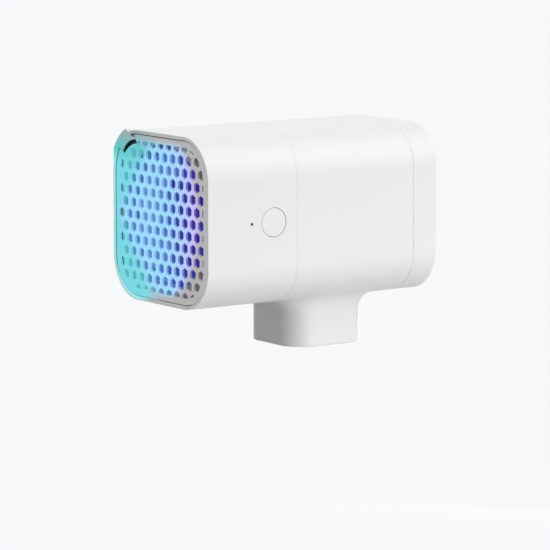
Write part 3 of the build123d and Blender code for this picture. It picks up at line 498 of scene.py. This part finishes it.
def plain_metal(name):
    """A metal from the table, with a fine grain, which may be drawn out into a brushed one."""
    metal = METALS[name]
    material, point = empty_material(name)
    stretch = metal.get("stretch", (1, 1, 1))
    drawn = add(material, VECTOR, {0: point, 1: stretch}, operation="MULTIPLY")
    grain = {key: metal[key] for key in ("size_mm", "depth_mm", "roughness")}
    return surface(material, {
        "Base Color": linear(metal["colour"]), "Metallic": 1.0,
    } | textured(material, drawn, **grain, spread=0.06))


def copper_winding():
    """Varnished copper wire in close turns: a reddish metal with a ridge for every turn."""
    material, point = empty_material("copper_winding")
    turns = add(
        material, "ShaderNodeTexWave", {"Vector": point, "Scale": WAVE_REPEAT / TURN_SIZE}, "Fac",
        wave_type="RINGS", rings_direction="Y",
    )
    relief = {"Height": turns, "Distance": 0.05 * MM, "Strength": 0.6}
    return surface(material, {
        "Base Color": linear("#b8683a"), "Metallic": 1.0, "Roughness": 0.35, "Coat Weight": 0.4,
        "Normal": add(material, "ShaderNodeBump", relief),
    })


def soft_silicone(name, colour, roughness):
    """Silicone rubber: matt, with a faint dusty bloom."""
    material, point = empty_material(name)
    return surface(material, {
        "Base Color": linear(colour), "IOR": 1.41, "Sheen Weight": 0.15, "Sheen Roughness": 0.5,
    } | textured(material, point, size_mm=0.8, depth_mm=0.008, roughness=roughness, spread=0.06))


def closed_cell_foam(name, colour):
    """Polyethylene foam: rounded cells under a millimetre across, dark in their gaps."""
    material, point = empty_material(name)
    cells = add(material, "ShaderNodeTexVoronoi", {"Vector": point, "Scale": 1 / FOAM_CELL_SIZE}, "Distance")
    shade = colours(cells, linear(colour), linear("#101012"))
    relief = {"Height": cells, "Distance": 0.15 * MM, "Strength": 0.8}
    return surface(material, {
        "Base Color": add(material, MIX, shade, MIX_COLOUR, data_type="RGBA"), "Roughness": 0.9,
        "IOR": 1.4, "Normal": add(material, "ShaderNodeBump", relief),
    })


def quartz_glass():
    """Fused quartz: clear, polished, with hardly any tint."""
    material, point = empty_material("quartz_glass")
    return surface(material, {
        "Base Color": linear("#f2f4ff"), "IOR": 1.46, "Transmission Weight": 1.0,
    } | textured(material, point, size_mm=3.0, depth_mm=0.001, roughness=0.04, spread=0.02))


def smoked_acrylic():
    """Dark clear acrylic of the light pipe, its end cut and lightly polished."""
    material, point = empty_material("smoked_acrylic")
    return surface(material, {
        "Base Color": linear("#101012"), "IOR": 1.49, "Specular IOR Level": 0.3,
    } | textured(material, point, size_mm=0.6, depth_mm=0.002, roughness=0.4))


def moulded_epoxy():
    """Black epoxy of chip packages and switches, with a fine sandy surface."""
    material, point = empty_material("moulded_epoxy")
    return surface(material, {
        "Base Color": linear("#1b1b1e"), "IOR": EPOXY_IOR,
    } | textured(material, point, size_mm=0.15, depth_mm=0.005, roughness=0.6))


def laminated_pouch():
    """Blue film round the cell: slightly wrinkled and half glossy."""
    material, point = empty_material("laminated_pouch")
    return surface(material, {
        "Base Color": linear("#3d5f8f"), "IOR": 1.5, "Coat Weight": 0.2,
    } | textured(material, point, size_mm=7.0, depth_mm=0.2, roughness=0.36, spread=0.08))


class SterilizerFinish(bpy.types.PropertyGroup):
    """Colours of the object's finishes, and of the light and shade painted on them, written as sRGB hex."""

    shell: bpy.props.StringProperty(name="Shell", description="White ABS of the body", default="#f0f0f0")
    inner_shell: bpy.props.StringProperty(
        name="Inner shell", description="White ABS inside", default="#e6e6e6",
    )
    inside_glow: bpy.props.StringProperty(
        name="Inside glow", description="Lamps' light behind the fan", default="#383596",
    )
    rim: bpy.props.StringProperty(name="Rim", description="Grey ABS of the rim", default="#e4e2e3")
    rim_lit: bpy.props.StringProperty(
        name="Lit rim", description="Rim where light spills on it", default="#70d8d4",
    )
    # Faint teal light painted on the rim and the grille left of their middle
    rim_faint_spill: bpy.props.StringProperty(
        name="Tinted rim", description="Rim left of its middle, above the lit part", default="#bfd3d2",
    )
    # Painted shade: dark teal inside the rim's slot and grooves, and on the mask under the nail slot
    slot_painted_shade: bpy.props.StringProperty(
        name="Slot", description="Inside of the rim's slot and grooves", default="#0c3c42",
    )
    ear_glow: bpy.props.StringProperty(
        name="Ear glow", description="Light spilled on the ear", default="#009696",
    )
    rim_glow: bpy.props.StringProperty(
        name="Rim glow", description="Light spilled on the rim", default="#a8faff",
    )
    grille: bpy.props.StringProperty(
        name="Grille", description="Grey ABS of the honeycomb", default="#e4e2e3",
    )
    grille_lit: bpy.props.StringProperty(
        name="Lit grille", description="Grey ABS as it adds to light spilled on it", default="#202028",
    )
    web_left: bpy.props.StringProperty(name="Web left", description="Light at the left", default="#92d6f4")
    web_middle: bpy.props.StringProperty(
        name="Web middle", description="Light right of the middle", default="#b5c0f8",
    )
    web_right: bpy.props.StringProperty(
        name="Web right", description="Light at the right", default="#ccb6f0",
    )
    teal: bpy.props.StringProperty(name="Teal", description="Light in the left corners", default="#6cd2dc")
    teal_high: bpy.props.StringProperty(
        name="High teal", description="Light in the top left corner", default="#46b4b6",
    )
    cell_left: bpy.props.StringProperty(
        name="Cell left", description="Cell walls at the left", default="#86bcf0",
    )
    cell_right: bpy.props.StringProperty(
        name="Cell right", description="Cell walls at the right", default="#6658bc",
    )
    mask: bpy.props.StringProperty(name="Mask", description="Sheet behind the corners", default="#c4bab8")
    mask_teal: bpy.props.StringProperty(
        name="Lit mask", description="Teal light on the sheet", default="#56a8b8",
    )
    duct_left: bpy.props.StringProperty(
        name="Duct left", description="Lit collar at the left", default="#4a78b8",
    )
    duct_right: bpy.props.StringProperty(
        name="Duct right", description="Lit collar at the right", default="#4a2498",
    )
    fan_left: bpy.props.StringProperty(
        name="Fan left", description="Fan in the light, left", default="#6892d6",
    )
    fan_middle: bpy.props.StringProperty(
        name="Fan middle", description="Fan in the light, middle", default="#4060bc",
    )
    fan_right: bpy.props.StringProperty(
        name="Fan right", description="Fan in the light, right", default="#302490",
    )
    board: bpy.props.StringProperty(name="Board", description="Solder mask", default="#1e5a38")
    board_light: bpy.props.StringProperty(
        name="Board over copper", description="Solder mask over copper", default="#28704a",
    )
    board_dark: bpy.props.StringProperty(
        name="Board gap", description="Solder mask between traces", default="#143f28",
    )


class SterilizerStage(bpy.types.PropertyGroup):
    """The floor, the light and the camera."""

    background: bpy.props.StringProperty(
        name="Background", description="Colour behind the object", default="#f7f8fa",
    )
    floor_paint: bpy.props.StringProperty(
        name="Floor", description="Floor as it lights the object", default="#818181",
    )
    floor_drop: bpy.props.FloatProperty(
        name="Floor drop", description="How far the floor lies under the object", default=0.30,
        unit="LENGTH",
    )
    floor_size: bpy.props.FloatProperty(
        name="Floor size", description="Side of the floor", default=40.0, unit="LENGTH",
    )
    sky: bpy.props.FloatProperty(name="Sky", description="Strength of the even light", default=0.42)
    side_power: bpy.props.FloatProperty(
        name="Side lamp", description="Power of the lamp over the button side", default=7.8,
        unit="POWER",
    )
    front_power: bpy.props.FloatProperty(
        name="Front lamp", description="Power of the lamp over the front", default=10.6, unit="POWER",
    )
    low_power: bpy.props.FloatProperty(
        name="Low lamp", description="Power of the lamp below the button side", default=2.45,
        unit="POWER",
    )
    back_power: bpy.props.FloatProperty(
        name="Back lamp", description="Power of the lamp behind the far side", default=5.0,
        unit="POWER",
    )
    azimuth: bpy.props.FloatProperty(
        name="Azimuth", description="Camera's turn from the front to the button side",
        default=math.radians(54.917), subtype="ANGLE",
    )
    elevation: bpy.props.FloatProperty(
        name="Elevation", description="Camera's height over the horizon",
        default=math.radians(8.001), subtype="ANGLE",
    )
    distance: bpy.props.FloatProperty(
        name="Distance", description="Camera to target", default=1.28, unit="LENGTH",
    )
    target: bpy.props.FloatVectorProperty(
        name="Target", description="Point at the picture's middle",
        default=(-0.0158, -0.0381, -0.0262), subtype="TRANSLATION",
    )
    lens: bpy.props.FloatProperty(
        name="Lens", description="Focal length in millimetres", default=231.6,
    )


class FinishShells(bpy.types.Operator):
    """Gives the white shells and the button their moulded ABS."""

    bl_idname = "sterilizer.finish_shells"
    bl_label = "Finish shells"

    def execute(self, context):
        finish = context.scene.sterilizer_finish
        dress(SHELLS, white_moulded_abs(finish))
        dress(INNER_SHELLS, white_inner_abs(finish))
        return {"FINISHED"}


class FinishGrille(bpy.types.Operator):
    """Gives the rim, the honeycomb and the sheet behind it their grey ABS and spilled light."""

    bl_idname = "sterilizer.finish_grille"
    bl_label = "Finish grille"

    def execute(self, context):
        finish = context.scene.sterilizer_finish
        dress(["front_rim"], grey_satin_abs(finish))
        dress(["grille_plate"], lit_honeycomb(finish))
        dress(["light_mask"], grey_mask_abs(finish))
        return {"FINISHED"}


class FinishLight(bpy.types.Operator):
    """Lights the collar, its board and the lamps, front and chamber."""

    bl_idname = "sterilizer.finish_light"
    bl_label = "Finish light"

    def execute(self, context):
        finish = context.scene.sterilizer_finish
        dress(["light_duct"], milky_polycarbonate(finish))
        dress(["light_board"], white_solder_mask(finish))
        dress(["duct_lamps"], lamp_lens("front_lamp_lens", "#5a50ff", strength=0.3))
        dress(["uv_lamps"], lamp_lens("chamber_lamp_lens", "#8a60ff", strength=6.0))
        dress(["indicator_lamp"], lamp_lens("signal_lamp_lens", "#ffffff", strength=0.0))
        dress(["light_pipe"], smoked_acrylic())
        return {"FINISHED"}


class FinishFan(bpy.types.Operator):
    """Finishes the fan and its motor."""

    bl_idname = "sterilizer.finish_fan"
    bl_label = "Finish fan"

    def execute(self, context):
        dress(FAN, lit_fan_plastic(context.scene.sterilizer_finish))
        dress(["fan_bearing"], plain_metal("sintered_bronze"))
        dress(["fan_stator"], copper_winding())
        dress(["magnet_ring"], plain_metal("pressed_ferrite"))
        return {"FINISHED"}


class FinishChamber(bpy.types.Operator):
    """Finishes the brush chamber, the grips and the seal."""

    bl_idname = "sterilizer.finish_chamber"
    bl_label = "Finish chamber"

    def execute(self, context):
        dress(["chamber_liner"], plain_metal("bright_aluminium"))
        dress(["uv_window"], quartz_glass())
        dress(PADS, soft_silicone("grip_silicone", "#8f9095", roughness=0.6))
        dress(["seam_seal"], soft_silicone("seal_silicone", "#d8d8d8", roughness=0.7))
        dress(SPRINGS, plain_metal("spring_wire"))
        return {"FINISHED"}


class FinishPower(bpy.types.Operator):
    """Finishes the boards, the cell and the small parts on them."""

    bl_idname = "sterilizer.finish_power"
    bl_label = "Finish power parts"

    def execute(self, context):
        dress(BOARDS, solder_mask(context.scene.sterilizer_finish))
        dress(CHIPS, moulded_epoxy())
        dress(["battery_cell"], laminated_pouch())
        dress(FOAMS, closed_cell_foam("grey_foam", "#4c4c50"))
        return {"FINISHED"}


class FinishFasteners(bpy.types.Operator):
    """Finishes the screws, pins and magnets."""

    bl_idname = "sterilizer.finish_fasteners"
    bl_label = "Finish fasteners"

    def execute(self, context):
        dress(SCREWS, plain_metal("zinc_plated_steel"))
        dress(PINS, plain_metal("ground_steel"))
        dress(MAGNETS, plain_metal("nickel_plate"))
        return {"FINISHED"}


class BuildStage(bpy.types.Operator):
    """Makes the pale floor, the light and the camera."""

    bl_idname = "sterilizer.build_stage"
    bl_label = "Build stage"

    def execute(self, context):
        stage = context.scene.sterilizer_stage
        build_floor(context.scene, stage)
        build_world(context.scene, stage)
        build_lamps(context.scene, stage)
        build_camera(context.scene, stage)
        context.scene.view_settings.view_transform = "Standard"
        return {"FINISHED"}


def seen_directly(material):
    """One for camera, glossy and transmission rays, which see the background, and zero for the rest."""
    total = 0.0
    for ray in ("Is Camera Ray", "Is Glossy Ray", "Is Transmission Ray"):
        one = add(material, "ShaderNodeLightPath", output=ray)
        total = add(material, MATH, {0: total, 1: one}, operation="MAXIMUM")
    return total


def build_floor(scene, stage):
    """A wide pale floor that keeps the object's shadow, and is clear from below."""
    shadow_share = 0.02
    half = stage.floor_size / 2
    height = CAD_BOX[0].z - stage.floor_drop
    mesh = bpy.data.meshes.new("pale_floor")
    corners = [(x * half, y * half, height) for x, y in ((-1, -1), (1, -1), (1, 1), (-1, 1))]
    mesh.from_pydata(corners, [], [(0, 1, 2, 3)])
    floor = bpy.data.objects.new("pale_floor", mesh)
    scene.collection.objects.link(floor)

    material, _ = empty_material("pale_floor_paint")
    paint = add(material, "ShaderNodeBsdfDiffuse", {"Color": linear(stage.floor_paint)})
    even = {"Color": linear(stage.background), "Strength": 1 / (1 - shadow_share)}
    even = add(material, "ShaderNodeEmission", even)
    share = {0: seen_directly(material), 1: 1 - shadow_share}
    share = add(material, MATH, share, operation="MULTIPLY")
    mixed = add(material, "ShaderNodeMixShader", {0: share, 1: paint, 2: even})
    below = add(material, "ShaderNodeNewGeometry", output="Backfacing")
    clear = add(material, "ShaderNodeBsdfTransparent")
    mixed = add(material, "ShaderNodeMixShader", {0: below, 1: mixed, 2: clear})
    add(material, "ShaderNodeOutputMaterial", {"Surface": mixed})
    mesh.materials.append(material)


def build_world(scene, stage):
    """Even light from all round, and the pale background for whatever sees it directly."""
    world = bpy.data.worlds.new("studio")
    world.use_nodes = True
    world.node_tree.nodes.clear()
    sky = add(world, "ShaderNodeBackground", {"Color": linear("#ffffff"), "Strength": stage.sky})
    seen = add(world, "ShaderNodeBackground", {"Color": linear(stage.background), "Strength": 1.0})
    mixed = add(world, "ShaderNodeMixShader", {0: seen_directly(world), 1: sky, 2: seen})
    add(world, "ShaderNodeOutputWorld", {"Surface": mixed})
    scene.world = world


def build_lamps(scene, stage):
    """Four soft square lamps: over the button side, over the front, low beside the neck, and behind
    the far side. Each has its direction from the object, its distance and its side in metres."""
    centre = (CAD_BOX[0] + CAD_BOX[1]) / 2
    lamps = [
        ("side_lamp", (0.7, 0.7, 0.8), 1.5, 1.0, stage.side_power),
        ("front_lamp", (0, -0.8, 1), 1.5, 1.0, stage.front_power),
        ("low_lamp", (1, 0.15, -0.55), 0.6, 0.3, stage.low_power),
        ("back_lamp", (-0.8, 0.8, -0.19), 1.2, 0.35, stage.back_power),
    ]
    for name, direction, distance, size, power in lamps:
        lamp = bpy.data.lights.new(name, "AREA")
        lamp.energy = power
        lamp.size = size
        aim = Vector(direction).normalized()
        stand(scene, name, lamp, centre + aim * distance, aim)


def build_camera(scene, stage):
    """The camera at the photograph's angle, level and without shift."""
    camera = bpy.data.cameras.new("photo_camera")
    camera.lens = stage.lens
    camera.sensor_width = 36.0
    camera.clip_start = 0.05
    camera.clip_end = 100.0
    flat = math.cos(stage.elevation)
    back = Vector((
        math.sin(stage.azimuth) * flat, -math.cos(stage.azimuth) * flat, math.sin(stage.elevation),
    ))
    target = Vector(stage.target)
    scene.camera = stand(scene, "photo_camera", camera, target + back * stage.distance, back)


def stand(scene, name, data, place, back):
    """Puts a lamp or a camera at a place, with its back to a direction and its top up."""
    item = bpy.data.objects.new(name, data)
    scene.collection.objects.link(item)
    item.location = place
    item.rotation_mode = "QUATERNION"
    item.rotation_quaternion = back.to_track_quat("Z", "Y")
    return item


OPERATORS = [
    FinishShells, FinishGrille, FinishLight, FinishFan, FinishChamber, FinishPower, FinishFasteners,
    BuildStage,
]


class SterilizerPanel(bpy.types.Panel):
    """Lists the steps that finish and light the sterilizer."""

    bl_idname = "VIEW3D_PT_sterilizer"
    bl_label = "Toothbrush Sterilizer"
    bl_space_type = "VIEW_3D"
    bl_region_type = "UI"
    bl_category = "Sterilizer"

    def draw(self, context):
        for step in OPERATORS:
            self.layout.operator(step.bl_idname)


CLASSES = [SterilizerFinish, SterilizerStage, *OPERATORS, SterilizerPanel]


def register():
    """Adds the classes and their settings to Blender."""
    for cls in CLASSES:
        bpy.utils.register_class(cls)
    bpy.types.Scene.sterilizer_finish = bpy.props.PointerProperty(type=SterilizerFinish)
    bpy.types.Scene.sterilizer_stage = bpy.props.PointerProperty(type=SterilizerStage)


def unregister():
    """Takes them out again."""
    del bpy.types.Scene.sterilizer_finish
    del bpy.types.Scene.sterilizer_stage
    for cls in reversed(CLASSES):
        bpy.utils.unregister_class(cls)


def main():
    """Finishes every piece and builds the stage."""
    register()
    bpy.ops.sterilizer.finish_shells()
    bpy.ops.sterilizer.finish_grille()
    bpy.ops.sterilizer.finish_light()
    bpy.ops.sterilizer.finish_fan()
    bpy.ops.sterilizer.finish_chamber()
    bpy.ops.sterilizer.finish_power()
    bpy.ops.sterilizer.finish_fasteners()
    bpy.ops.sterilizer.build_stage()


if __name__ == "__main__":
    main()
